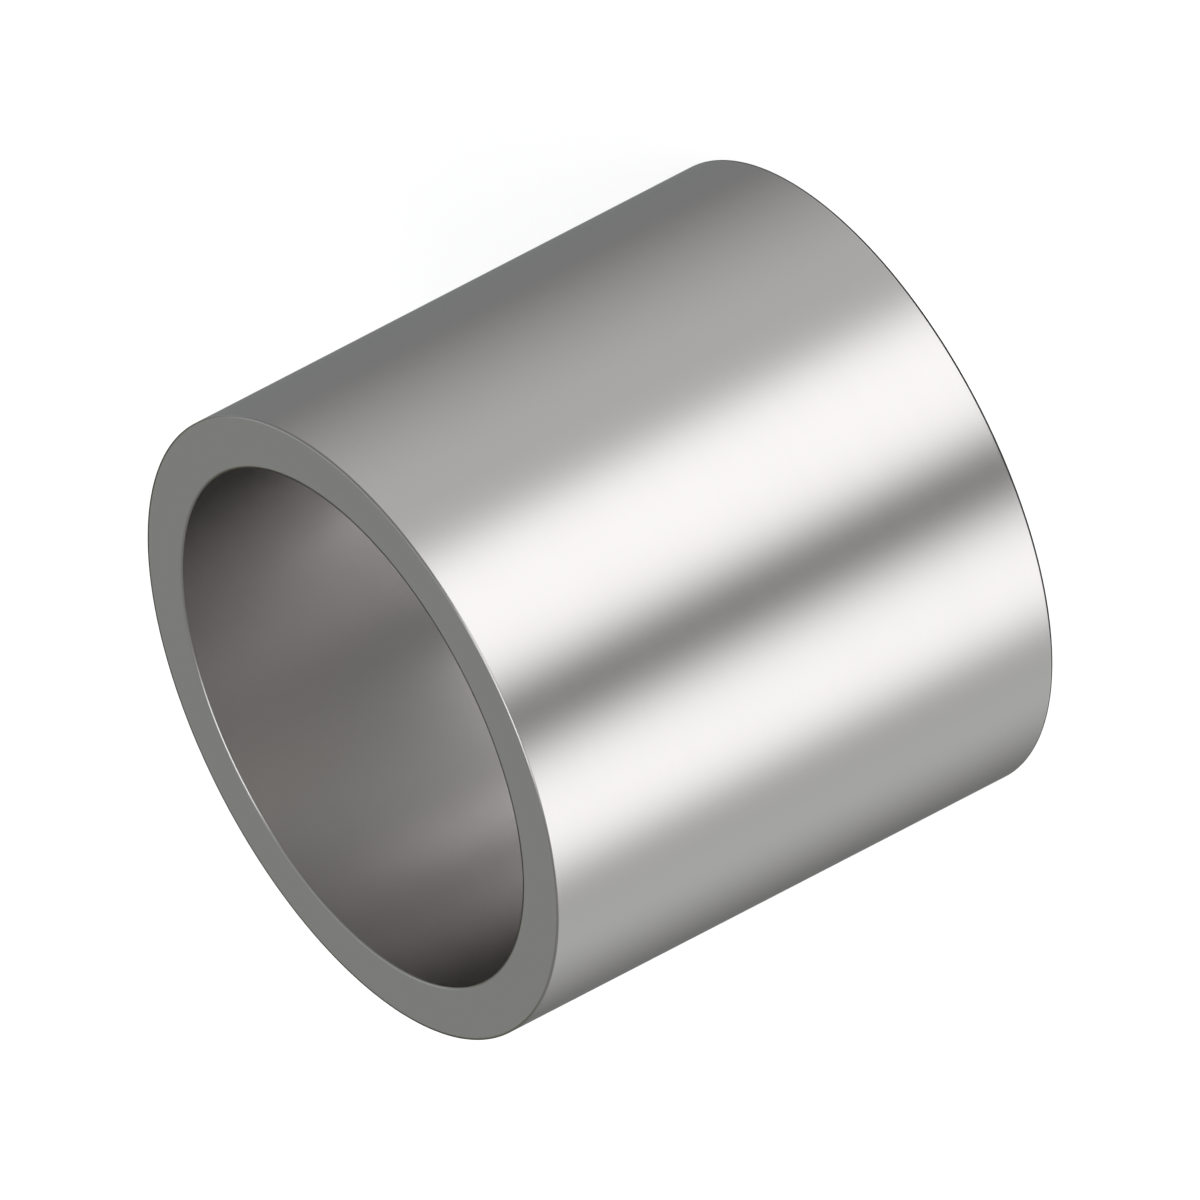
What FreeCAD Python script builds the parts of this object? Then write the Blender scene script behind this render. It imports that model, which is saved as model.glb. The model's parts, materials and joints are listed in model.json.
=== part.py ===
"""A plain steel spacer sleeve: a short tube with square ends, turned as one piece.

The sleeve stands on one end. Z is its axis and the origin is the centre of the lower end.
All lengths are in millimetres.
"""

import FreeCAD, Part
import os

# Driving dimensions: the shaft that the sleeve slides over sets the bore
BORE_DIAMETER = 25.0
WALL_THICKNESS = 2.5
SLEEVE_LENGTH = 27.0

# All four rims are broken only enough to take the burr off
OUTER_RIM_RADIUS = 0.1
BORE_RIM_RADIUS = 0.1

# Sizes that follow from them
BORE_RADIUS = BORE_DIAMETER / 2
OUTER_RADIUS = BORE_RADIUS + WALL_THICKNESS

SLEEVE_AXIS = FreeCAD.Vector(0, 0, 1)
FULL_TURN = 360.0


def section_point(radius, height):
    """A point of the wall's section, which is drawn in the XZ plane."""
    return FreeCAD.Vector(radius, 0, height)


def rounded_corner(corner, before, after, radius):
    """Start, middle and end of the quarter circle that rounds a square corner.

    before and after are the corners on either side of it.
    """
    to_before = (before - corner).normalize()
    to_after = (after - corner).normalize()
    start = corner + to_before * radius
    end = corner + to_after * radius
    centre = start + to_after * radius
    middle = centre + (corner - centre).normalize() * radius
    return start, middle, end


def wall_section():
    """The section of the wall: a tall rectangle whose four corners are rounded."""
    corners = [
        (section_point(OUTER_RADIUS, 0), OUTER_RIM_RADIUS),
        (section_point(OUTER_RADIUS, SLEEVE_LENGTH), OUTER_RIM_RADIUS),
        (section_point(BORE_RADIUS, SLEEVE_LENGTH), BORE_RIM_RADIUS),
        (section_point(BORE_RADIUS, 0), BORE_RIM_RADIUS),
    ]
    count = len(corners)
    arcs = []
    for index, (corner, radius) in enumerate(corners):
        before = corners[index - 1][0]
        after = corners[(index + 1) % count][0]
        arcs.append(rounded_corner(corner, before, after, radius))

    edges = []
    for index, (start, middle, end) in enumerate(arcs):
        next_start = arcs[(index + 1) % count][0]
        edges.append(Part.Arc(start, middle, end).toShape())
        edges.append(Part.LineSegment(end, next_start).toShape())
    return Part.Face(Part.Wire(edges))


def spacer_sleeve():
    """The whole sleeve: the wall's section turned once round the axis."""
    axis_point = section_point(0, 0)
    return wall_section().revolve(axis_point, SLEEVE_AXIS, FULL_TURN)


def main():
    os.makedirs("parts", exist_ok=True)
    sleeve = spacer_sleeve()
    sleeve.exportStep("parts/spacer_sleeve.step")
    print(f"spacer_sleeve: {sleeve.ShapeType}, valid: {sleeve.isValid()}")
    print(f"outer diameter {2 * OUTER_RADIUS:.1f} mm, volume {sleeve.Volume / 1000:.3f} cm3")


main()
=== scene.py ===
# %% [markdown]
# # A plain steel spacer sleeve
#
# The object is a short tube with square ends. It slides over a shaft and keeps two
# parts a set distance apart. It was turned from one piece of steel, so it is one
# piece here too, and the lesson is about two things: a shape that follows a rule,
# and a metal that looks right because of what it reflects.
#
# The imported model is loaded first. It gives the sleeve's place and size, and nothing
# below moves or resizes it.

# %% Load the measured model
import json
import math

import bpy
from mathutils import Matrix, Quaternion, Vector


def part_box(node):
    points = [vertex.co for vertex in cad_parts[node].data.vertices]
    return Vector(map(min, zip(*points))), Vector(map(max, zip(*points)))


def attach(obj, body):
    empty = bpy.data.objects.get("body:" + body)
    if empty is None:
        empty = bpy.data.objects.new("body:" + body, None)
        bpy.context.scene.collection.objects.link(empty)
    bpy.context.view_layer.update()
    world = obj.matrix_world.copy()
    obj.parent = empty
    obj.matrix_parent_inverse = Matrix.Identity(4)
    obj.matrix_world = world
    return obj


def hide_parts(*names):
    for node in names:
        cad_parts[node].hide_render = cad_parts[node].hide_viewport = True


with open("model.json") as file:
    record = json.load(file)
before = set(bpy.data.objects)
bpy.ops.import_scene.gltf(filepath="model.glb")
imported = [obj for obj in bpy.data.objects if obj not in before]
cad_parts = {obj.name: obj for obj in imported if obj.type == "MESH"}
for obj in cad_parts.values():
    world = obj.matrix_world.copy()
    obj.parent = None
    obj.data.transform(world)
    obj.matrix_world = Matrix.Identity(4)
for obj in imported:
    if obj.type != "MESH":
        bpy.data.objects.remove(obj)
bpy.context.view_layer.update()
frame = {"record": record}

# %% [markdown]
# ## Sizes
#
# A sleeve needs four sizes: how wide it is outside, how wide the bore is, how long it
# is, and how much its rims are rounded. They could be typed in again, but then a
# change to the model would leave this file behind. So the outside and the length are
# measured on the loaded node, and the bore comes from the record's mount. The bore's
# straight wall is shorter than the sleeve by one rim rounding at each end.

# %% Sizes from the measured model
NODE = "spacer_sleeve"
MILLIMETRE = 0.001

node_low, node_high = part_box(NODE)
bore_mount = next(m for m in frame["record"]["mounts"] if m["name"] == "bore")

OUTER_RADIUS = node_high.x
SLEEVE_LENGTH = node_high.z - node_low.z
BORE_RADIUS = bore_mount["dims"]["r_mm"] * MILLIMETRE
BORE_WALL_LENGTH = bore_mount["dims"]["length_mm"] * MILLIMETRE
RIM_RADIUS = (SLEEVE_LENGTH - BORE_WALL_LENGTH) / 2
SLEEVE_CENTRE = Vector((0, 0, node_low.z + SLEEVE_LENGTH / 2))

print(f"outer radius {OUTER_RADIUS / MILLIMETRE:.2f} mm, bore radius {BORE_RADIUS / MILLIMETRE:.2f} mm")
print(f"length {SLEEVE_LENGTH / MILLIMETRE:.2f} mm, rims rounded {RIM_RADIUS / MILLIMETRE:.3f} mm")

# %% [markdown]
# ## The camera
#
# The picture is a parallel projection: the near and far ends measure the same, and the
# sides don't converge. An orthographic camera gives that. Three numbers place it: how
# far the view looks down on the upper end, how the sleeve's axis lies in the picture,
# and how many millimetres the picture spans. The sleeve stands upright here, so the
# camera rolls instead of the sleeve leaning. A quarter turn lays the axis level, with
# the upper end at the left, and a little more lets that end fall.

# %% Set up the camera
VIEW_ELEVATION = math.radians(25.46)
QUARTER_TURN = math.radians(90)
AXIS_FALL = math.radians(27.31)
PICTURE_WIDTH = 52.48 * MILLIMETRE
CAMERA_DISTANCE = 0.4
CAMERA_REACH = 10.0

toward_camera = Vector((0, -math.cos(VIEW_ELEVATION), math.sin(VIEW_ELEVATION)))
level_camera = (-toward_camera).to_track_quat("-Z", "Y")
camera_roll = Quaternion((0, 0, 1), -(QUARTER_TURN + AXIS_FALL))

camera_data = bpy.data.cameras.new("camera")
camera_data.type = "ORTHO"
camera_data.ortho_scale = PICTURE_WIDTH
camera_data.clip_end = CAMERA_REACH
camera = bpy.data.objects.new("camera", camera_data)
camera.location = SLEEVE_CENTRE + toward_camera * CAMERA_DISTANCE
camera.rotation_mode = "QUATERNION"
camera.rotation_quaternion = level_camera @ camera_roll
bpy.context.scene.collection.objects.link(camera)
bpy.context.scene.camera = camera
print(f"camera looks down {math.degrees(VIEW_ELEVATION):.2f} degrees, picture {PICTURE_WIDTH:.4f} m wide")

# %% [markdown]
# ## One way to add a node
#
# Shapes, materials and light are all node trees here. A tree in code is easier to read
# when adding a node, setting it and wiring it are one step, so one small function does
# that for every kind of node. An input is given a plain value or another node's output.

# %% A function that adds a node
def add(tree, kind, inputs=None, **settings):
    """Adds a node to a tree, sets its options and fills its inputs by name or number."""
    node = tree.nodes.new(kind)
    for name, value in settings.items():
        setattr(node, name, value)
    for key, value in (inputs or {}).items():
        if isinstance(value, bpy.types.NodeSocket):
            tree.links.new(value, node.inputs[key])
        else:
            node.inputs[key].default_value = value
    return node

# %% [markdown]
# A tree that is given sizes needs named sockets at its two ends. A second function
# starts such a tree. It serves for the sleeve's shape and for the studio's cards.

# %% A function that starts a tree
def new_tree(name, kind, inputs, outputs):
    """Makes a node group with named sockets and returns it with its two end nodes."""
    tree = bpy.data.node_groups.new(name, kind)
    for label, socket_kind in inputs.items():
        tree.interface.new_socket(label, in_out="INPUT", socket_type=socket_kind)
    for label, socket_kind in outputs.items():
        tree.interface.new_socket(label, in_out="OUTPUT", socket_type=socket_kind)
    return tree, add(tree, "NodeGroupInput").outputs, add(tree, "NodeGroupOutput").inputs

# %% [markdown]
# ## The steel
#
# The sleeve is bare carbon steel, turned and then lightly ground, so it is satin: it
# mirrors its surroundings, but softly. Steel is grey with a trace of warmth. A metal
# has no diffuse colour: nearly all that the eye sees is the room in it. So the base
# colour is how much it reflects, and the roughness is how far that is blurred. Seen
# nearly edge-on, real steel mirrors less than the shader's own curve says, and the
# specular tint lowers it there. That keeps the bore's corners dark, where light has
# skimmed along the wall and struck it many times.

# %% Turn a colour to light
def linear(hex_colour):
    """Turns an sRGB hex colour such as "8F8E8C" into linear red, green, blue and alpha."""
    # The curve and its numbers are the sRGB standard's own.
    channels = [int(hex_colour[i : i + 2], 16) / 255 for i in (0, 2, 4)]
    curved = [c / 12.92 if c <= 0.04045 else ((c + 0.055) / 1.055) ** 2.4 for c in channels]
    return (*curved, 1.0)


STEEL_FACING = linear("D4D2D1")
STEEL_EDGE_ON = linear("D2D2D2")
print("steel reflects", [round(part, 2) for part in STEEL_FACING[:3]], "of red, green and blue")

# %% [markdown]
# ### Grinding marks
#
# The marks run round the axis: on both walls they are level strokes, and on both ends
# they are arcs. Marks could be painted on with an image, but a noise that is
# stretched does it at any size. Its third coordinate is height plus distance from the
# axis, which runs along the wall's section and never along a mark, so it is made fine.
# The other two are made coarse, and they set how long a stroke is. Distance from the
# axis is the length of the level part of a place, with its height taken away. Real
# marks are some hundredths of a millimetre apart, too fine to show, so these are drawn
# coarser. Two finer layers of the same noise lie over them.

# %% Draw the marks
STROKE_SPACING = 0.16 * MILLIMETRE
STROKE_LENGTH = 9.0 * MILLIMETRE
FINER_LAYERS = 2.0
LEVEL_ONLY = (1, 1, 0)


def strokes_round_the_axis(tree):
    """Adds a noise that is drawn out into fine strokes round the axis, and returns its height."""
    place = add(tree, "ShaderNodeTexCoord").outputs["Object"]
    split = add(tree, "ShaderNodeSeparateXYZ", {"Vector": place})
    level = add(tree, "ShaderNodeVectorMath", {0: place, 1: LEVEL_ONLY}, operation="MULTIPLY")
    from_axis = add(tree, "ShaderNodeVectorMath", {0: level.outputs[0]}, operation="LENGTH")
    along_section = add(
        tree,
        "ShaderNodeMath",
        {0: split.outputs["Z"], 1: from_axis.outputs["Value"]},
        operation="ADD",
    )
    stroke_place = add(
        tree,
        "ShaderNodeCombineXYZ",
        {"X": split.outputs["X"], "Y": split.outputs["Y"], "Z": along_section.outputs[0]},
    )
    stretched = add(
        tree,
        "ShaderNodeVectorMath",
        {0: stroke_place.outputs[0], 1: (1 / STROKE_LENGTH, 1 / STROKE_LENGTH, 1 / STROKE_SPACING)},
        operation="MULTIPLY",
    )
    strokes = add(
        tree,
        "ShaderNodeTexNoise",
        {"Vector": stretched.outputs[0], "Scale": 1.0, "Detail": FINER_LAYERS},
    )
    return strokes.outputs["Fac"]


print(f"strokes {STROKE_SPACING / MILLIMETRE:.2f} mm apart and {STROKE_LENGTH / MILLIMETRE:.0f} mm long")

# %% [markdown]
# ### The steel's material
#
# The same strokes do two things. They make the steel a little smoother and rougher by
# turns, and they raise it by less than a thousandth of a millimetre. Both are faint: the
# eye reads them as a satin sheen, not as lines.
#
# The correction for bumps is turned off. It mends the shade on coarse bumps, which
# these strokes aren't, and it would undo the shading that is set on the rims below.

# %% Make the steel
STROKE_DEPTH = 0.0004 * MILLIMETRE
SMOOTHEST, ROUGHEST = 0.275, 0.305


def turned_and_ground_steel():
    """Bare steel, turned and lightly ground: a satin grey mirror with faint strokes round it."""
    material = bpy.data.materials.new("turned_and_ground_steel")
    material.use_nodes = True
    material.cycles.use_bump_map_correction = False
    tree = material.node_tree
    tree.nodes.clear()
    strokes = strokes_round_the_axis(tree)
    roughness = add(
        tree,
        "ShaderNodeMapRange",
        {"Value": strokes, "To Min": SMOOTHEST, "To Max": ROUGHEST},
    )
    bump = add(tree, "ShaderNodeBump", {"Height": strokes, "Distance": STROKE_DEPTH, "Strength": 1.0})
    shader = add(
        tree,
        "ShaderNodeBsdfPrincipled",
        {
            "Base Color": STEEL_FACING,
            "Specular Tint": STEEL_EDGE_ON,
            "Metallic": 1.0,
            "Roughness": roughness.outputs["Result"],
            "Normal": bump.outputs["Normal"],
        },
    )
    add(tree, "ShaderNodeOutputMaterial", {"Surface": shader.outputs["BSDF"]})
    return material


steel = turned_and_ground_steel()
print(f"{steel.name}: roughness {SMOOTHEST} to {ROUGHEST}")

# %% [markdown]
# ## The sleeve
#
# The loaded node is already the right shape, but it is cut into flat facets, and a
# satin tube shows each of them. A ready-made cylinder with a hole would need its
# rims rounded afterwards. Here a rule gives the shape in one go: the section of the
# wall is a rectangle with rounded corners, and it is swept round a circle half way
# through the wall. Geometry Nodes do this, with the sizes as named inputs.

# %% Build the tree that sweeps the wall's section
def swept_sleeve_tree():
    """A Geometry Nodes tree that makes a sleeve standing on the ground plane."""
    tree, size, made = new_tree(
        "swept_sleeve",
        "GeometryNodeTree",
        {
            "Outer radius": "NodeSocketFloat",
            "Bore radius": "NodeSocketFloat",
            "Length": "NodeSocketFloat",
            "Rim radius": "NodeSocketFloat",
            "Steps round": "NodeSocketInt",
            "Steps on a rim": "NodeSocketInt",
            "Material": "NodeSocketMaterial",
        },
        {"Geometry": "NodeSocketGeometry"},
    )
    outer, bore = size["Outer radius"], size["Bore radius"]
    wall = add(tree, "ShaderNodeMath", {0: outer, 1: bore}, operation="SUBTRACT")
    both = add(tree, "ShaderNodeMath", {0: outer, 1: bore}, operation="ADD")
    middle = add(tree, "ShaderNodeMath", {0: both.outputs[0], 1: 0.5}, operation="MULTIPLY")
    path = add(
        tree,
        "GeometryNodeCurvePrimitiveCircle",
        {"Resolution": size["Steps round"], "Radius": middle.outputs[0]},
    )
    section = add(
        tree,
        "GeometryNodeCurvePrimitiveQuadrilateral",
        {"Width": wall.outputs[0], "Height": size["Length"]},
    )
    rounded = add(
        tree,
        "GeometryNodeFilletCurve",
        {"Curve": section.outputs[0], "Count": size["Steps on a rim"], "Radius": size["Rim radius"]},
        mode="POLY",
    )
    swept = add(
        tree,
        "GeometryNodeCurveToMesh",
        {"Curve": path.outputs["Curve"], "Profile Curve": rounded.outputs[0]},
    )
    half_length = add(tree, "ShaderNodeMath", {0: size["Length"], 1: 0.5}, operation="MULTIPLY")
    lift = add(tree, "ShaderNodeCombineXYZ", {"Z": half_length.outputs[0]})
    standing = add(
        tree,
        "GeometryNodeTransform",
        {"Geometry": swept.outputs[0], "Translation": lift.outputs[0]},
    )
    smooth = add(tree, "GeometryNodeSetShadeSmooth", {"Geometry": standing.outputs[0]})
    real = add(tree, "GeometryNodeRealizeInstances", {"Geometry": smooth.outputs[0]})
    dressed = add(
        tree,
        "GeometryNodeSetMaterial",
        {"Geometry": real.outputs[0], "Material": size["Material"]},
    )
    tree.links.new(dressed.outputs[0], made["Geometry"])
    return tree

# %% [markdown]
# ### From tree to mesh
#
# The tree runs as a modifier on an empty mesh. Its inputs are set by their
# identifiers, then the evaluated result is copied out as a plain mesh, so nothing of
# the modifier is left on the finished piece. A turn in steps of one degree leaves
# less than a thousandth of a millimetre between the mesh and the true circle.

# %% Sweep the sleeve
STEPS_ROUND_THE_AXIS = 360
STEPS_ON_A_RIM = 8


def piece_from_tree(name, tree, sizes):
    """Runs a tree with the given sizes and returns the result as a plain mesh object."""
    start = bpy.data.objects.new(name + "_start", bpy.data.meshes.new(name + "_start"))
    bpy.context.scene.collection.objects.link(start)
    modifier = start.modifiers.new("tree", "NODES")
    modifier.node_group = tree
    identifiers = {s.name: s.identifier for s in tree.interface.items_tree if s.in_out == "INPUT"}
    for label, value in sizes.items():
        modifier[identifiers[label]] = value
    shown = start.evaluated_get(bpy.context.evaluated_depsgraph_get())
    mesh = bpy.data.meshes.new_from_object(shown)
    mesh.name = name
    start.modifiers.remove(modifier)
    bpy.data.objects.remove(start)
    piece = bpy.data.objects.new(name, mesh)
    bpy.context.scene.collection.objects.link(piece)
    return piece


sleeve = piece_from_tree(
    "sleeve_body",
    swept_sleeve_tree(),
    {
        "Outer radius": OUTER_RADIUS,
        "Bore radius": BORE_RADIUS,
        "Length": SLEEVE_LENGTH,
        "Rim radius": RIM_RADIUS,
        "Steps round": STEPS_ROUND_THE_AXIS,
        "Steps on a rim": STEPS_ON_A_RIM,
        "Material": steel,
    },
)
print(f"sleeve: {len(sleeve.data.vertices)} points, {len(sleeve.data.polygons)} faces")

# %% [markdown]
# ### Crisp rims in a soft light
#
# The rims are broken by only a tenth of a millimetre. In the picture their outline
# stays square, and still a thin line of light or shade runs along each. A quarter
# circle gives the line, but it takes too much off the outline. Smooth shading has a
# trouble of its own: it guesses each normal as a mean of the faces round the point, and
# beside a tiny rim that guess leans. So shape and shading are both set here, from one
# idea: the wall has a core, one rim radius smaller all round. A point of the rim lies
# one radius from the core. It keeps the normal that points straight away from the core,
# and moves along it as far as the square corner's sides.

# %% Set the points and normals of the rims
def between(low, value, high):
    """The value, held between two limits."""
    return max(low, min(value, high))


def steps_from_core(point):
    """The level and the upright step from the wall's core to one of the surface's points."""
    heading = Vector((point.x, point.y, 0)).normalized()
    from_axis = point.dot(heading)
    core_radius = between(BORE_RADIUS + RIM_RADIUS, from_axis, OUTER_RADIUS - RIM_RADIUS)
    core_height = between(RIM_RADIUS, point.z, SLEEVE_LENGTH - RIM_RADIUS)
    return heading * (from_axis - core_radius), Vector((0, 0, point.z - core_height))


normals = []
furthest = 0.0
for vertex in sleeve.data.vertices:
    level_step, upright_step = steps_from_core(vertex.co)
    away = level_step + upright_step
    stretch = RIM_RADIUS / max(level_step.length, upright_step.length)
    move = away * (stretch - 1)
    vertex.co += move
    furthest = max(furthest, move.length)
    normals.append(away.normalized())
sleeve.data.update()
sleeve.data.normals_split_custom_set_from_vertices(normals)
print(f"rim points moved out by up to {furthest / MILLIMETRE:.3f} mm, normals set")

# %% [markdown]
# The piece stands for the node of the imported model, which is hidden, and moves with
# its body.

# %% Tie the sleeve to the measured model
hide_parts(NODE)
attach(sleeve, "root")
print(f"{sleeve.name} stands for {NODE}")

# %% [markdown]
# ## The floor
#
# The picture's ground is plain white. A pale matt floor that also glows a little gives
# that: the glow keeps it white under any light, and the matt part still lets the sleeve
# leave a faint shade, so that it stands on something. The steel doesn't mirror the
# floor, because the pictured sleeve mirrors only the studio.

# %% Lay the floor
FLOOR_HALF_WIDTH = 2.0
FLOOR_COLOUR = linear("F4F4F4")
GLOW_COLOUR = linear("FFFFFF")
FLOOR_GLOW = 0.7


def matt_white_card():
    """Matt white card with a soft glow, so that it stays pale under any light."""
    material = bpy.data.materials.new("matt_white_card")
    material.use_nodes = True
    shader = material.node_tree.nodes["Principled BSDF"]
    shader.inputs["Base Color"].default_value = FLOOR_COLOUR
    shader.inputs["Roughness"].default_value = 1.0
    shader.inputs["Specular IOR Level"].default_value = 0.0
    shader.inputs["Emission Color"].default_value = GLOW_COLOUR
    shader.inputs["Emission Strength"].default_value = FLOOR_GLOW
    material.cycles.emission_sampling = "NONE"
    return material


floor_mesh = bpy.data.meshes.new("floor")
corner = FLOOR_HALF_WIDTH
floor_mesh.from_pydata(
    [(-corner, -corner, 0), (corner, -corner, 0), (corner, corner, 0), (-corner, corner, 0)],
    [],
    [(0, 1, 2, 3)],
)
floor_mesh.materials.append(matt_white_card())
floor = bpy.data.objects.new("floor", floor_mesh)
floor.visible_glossy = False
bpy.context.scene.collection.objects.link(floor)
print(f"floor {2 * FLOOR_HALF_WIDTH:.0f} m wide")

# %% [markdown]
# ## The studio
#
# The bands on the outer wall run straight from end to end and never narrow, so what
# they mirror is far away. Lamps near the sleeve would give bands that swell and lean.
# A world shader is endlessly far, so the studio is drawn there as cards with soft
# edges, some lit and some dark. Each card hides what is behind it, as in a real studio.
#
# A card is placed by how far round it is and how high. Angles round are measured from
# the camera's side, positive toward -X. The picture looks down on the sleeve, so its
# walls mirror the lower half of the studio, and the upper half shows only on the end
# face and the rims.

# %% Measure how far a direction lies on a card
def card_cover(tree, given):
    """Adds what a card hides in a direction: 1 on the card, 0 off it and a soft ramp between."""
    direction = given["Direction"]
    level = add(tree, "ShaderNodeVectorMath", {0: direction, 1: LEVEL_ONLY}, operation="MULTIPLY")
    heading = add(tree, "ShaderNodeVectorMath", {0: level.outputs[0]}, operation="NORMALIZE")
    facing = add(
        tree,
        "ShaderNodeVectorMath",
        {0: heading.outputs[0], 1: given["Heading"]},
        operation="DOT_PRODUCT",
    )
    aside = add(tree, "ShaderNodeMath", {0: facing.outputs["Value"]}, operation="ARCCOSINE")
    rise = add(tree, "ShaderNodeSeparateXYZ", {"Vector": direction}).outputs["Z"]
    elevation = add(tree, "ShaderNodeMath", {0: rise}, operation="ARCSINE").outputs[0]
    above = add(tree, "ShaderNodeMath", {0: elevation, 1: given["Height"]}, operation="SUBTRACT")
    apart = add(tree, "ShaderNodeMath", {0: above.outputs[0]}, operation="ABSOLUTE")
    shown = []
    for distance, half, edge in (
        (aside, given["Half width"], given["Side edge"]),
        (apart, given["Half height"], given["End edge"]),
    ):
        outside = add(tree, "ShaderNodeMath", {0: half, 1: edge}, operation="ADD")
        inside = add(tree, "ShaderNodeMath", {0: half, 1: edge}, operation="SUBTRACT")
        ramp = add(
            tree,
            "ShaderNodeMapRange",
            {
                "Value": distance.outputs[0],
                "From Min": outside.outputs[0],
                "From Max": inside.outputs[0],
            },
            interpolation_type="SMOOTHSTEP",
        )
        shown.append(ramp.outputs["Result"])
    return add(tree, "ShaderNodeMath", {0: shown[0], 1: shown[1]}, operation="MULTIPLY").outputs[0]

# %% [markdown]
# One node group draws a card, and it is used once for each. It takes the light so far
# and gives it back with the card in front. Light is a vector here, of red, green and
# blue.

# %% Build one studio card as a group
def studio_card_tree():
    """A group that puts one soft-edged card in front of the light that came before it."""
    tree, given, made = new_tree(
        "studio_card",
        "ShaderNodeTree",
        {
            "Light behind": "NodeSocketVector",
            "Direction": "NodeSocketVector",
            "Heading": "NodeSocketVector",
            "Half width": "NodeSocketFloat",
            "Side edge": "NodeSocketFloat",
            "Height": "NodeSocketFloat",
            "Half height": "NodeSocketFloat",
            "End edge": "NodeSocketFloat",
            "Card light": "NodeSocketVector",
        },
        {"Light": "NodeSocketVector"},
    )
    behind = given["Light behind"]
    gain = add(
        tree,
        "ShaderNodeVectorMath",
        {0: given["Card light"], 1: behind},
        operation="SUBTRACT",
    )
    light = add(
        tree,
        "ShaderNodeVectorMath",
        {0: gain.outputs[0], 1: card_cover(tree, given), 2: behind},
        operation="MULTIPLY_ADD",
    )
    tree.links.new(light.outputs[0], made["Light"])
    return tree

# %% [markdown]
# ### The cards
#
# From back to front: a pale wall behind the sleeve with a dark shelf across it, two
# large soft cards at the sides, one near the camera and one farther round, a black
# flag, a light high in front, and the two main lights. The flag fills the gap between
# the main lights and makes the dark band. A black cloth covers all that is far below,
# and draws the dark line along the lower rim. Last, a small light stands low behind, in
# front of the cloth. It shines up through the bore and lifts the middle of its wall.
# Everything else is the dim room. Sizes are in degrees as seen from the sleeve. The
# wall, the shelf, the far card and the low light are a shade off white, as real ones
# are. The steel's greys differ a little from side to side because of them.
#
# In a world shader, the generated coordinate is the direction that is looked in. The
# cards are laid out by it, so they stay in place when the camera moves.
#
# The renderer can also aim rays at the world on purpose, which finds small lamps
# faster. These cards are wide and soft, so rays that leave the steel meet them anyway.
# Aimed rays would cost twice the time, and the floor would stop those that go down, so
# they are turned off, and for the floor's glow as well.

# %% Hang the cards in the world
WHITE = "FFFFFF"
COOL_WHITE = "F5FBFF"
GREEN_WHITE = "FCFFFC"
STRAW = "FFFFDE"
PALE_STRAW = "FFFFEE"
# name: (round, half width, side edge), (height, half height, end edge), brightness, colour
STUDIO_CARDS = {
    "pale wall": ((200, 25, 5), (40, 60, 25), 0.6, COOL_WHITE),
    "dark shelf": ((180, 40, 15), (12, 15, 5), 0.17, STRAW),
    "near card": ((-70, 35, 45), (-50, 20, 15), 1.65, WHITE),
    "far card": ((118, 25, 30), (-48, 22, 7), 1.25, GREEN_WHITE),
    "black flag": ((10, 20, 7), (-25, 40, 4), 0.02, WHITE),
    "high light": ((16, 32, 2), (40, 17, 6), 1.85, WHITE),
    "main light": ((-14, 25, 10), (-35, 30, 5), 1.65, WHITE),
    "side light": ((58, 22, 12), (-35, 30, 5), 1.6, WHITE),
    "black cloth": ((0, 200, 10), (-90, 47, 10), 0.0, WHITE),
    "low light": ((180, 20, 10), (-50, 10, 8), 1.5, PALE_STRAW),
}
ROOM_LIGHT = 0.23


def heading_vector(degrees_round):
    """A level direction, measured round from the camera's side."""
    angle = math.radians(degrees_round)
    return (-math.sin(angle), -math.cos(angle), 0)


world = bpy.data.worlds.new("studio")
bpy.context.scene.world = world
world.use_nodes = True
world.cycles.sampling_method = "NONE"
studio = world.node_tree
studio.nodes.clear()
direction = add(studio, "ShaderNodeTexCoord").outputs["Generated"]
card_tree = studio_card_tree()
light = Vector((1, 1, 1)) * ROOM_LIGHT
for label, (across, upright, brightness, colour) in STUDIO_CARDS.items():
    round_from_camera, half_width, side_edge = across
    height, half_height, end_edge = upright
    card = add(
        studio,
        "ShaderNodeGroup",
        {
            "Light behind": light,
            "Direction": direction,
            "Heading": heading_vector(round_from_camera),
            "Half width": math.radians(half_width),
            "Side edge": math.radians(side_edge),
            "Height": math.radians(height),
            "Half height": math.radians(half_height),
            "End edge": math.radians(end_edge),
            "Card light": Vector(linear(colour)[:3]) * brightness,
        },
        node_tree=card_tree,
        label=label,
    )
    light = card.outputs["Light"]
print(f"{len(STUDIO_CARDS)} cards round the sleeve")

# %% [markdown]
# The camera should see plain white past the floor's edge, and the steel should see the
# studio. So the world shows one of two backgrounds, and the kind of ray picks it.

# %% Finish the world
mirrored = add(studio, "ShaderNodeBackground", {"Color": light, "Strength": 1.0})
backdrop = add(studio, "ShaderNodeBackground", {"Color": (1, 1, 1, 1), "Strength": 1.0})
ray = add(studio, "ShaderNodeLightPath")
seen = add(
    studio,
    "ShaderNodeMixShader",
    {0: ray.outputs["Is Camera Ray"], 1: mirrored.outputs[0], 2: backdrop.outputs[0]},
)
add(studio, "ShaderNodeOutputWorld", {"Surface": seen.outputs[0]})
print(f"world {world.name}: {len(studio.nodes)} nodes")

# %% [markdown]
# The picture shows colours as they are, with nothing rolled off in the lights, so the
# plain view transform is used.

# %% Show plain colours
view = bpy.context.scene.view_settings
view.view_transform = "Standard"
print("view transform:", view.view_transform)
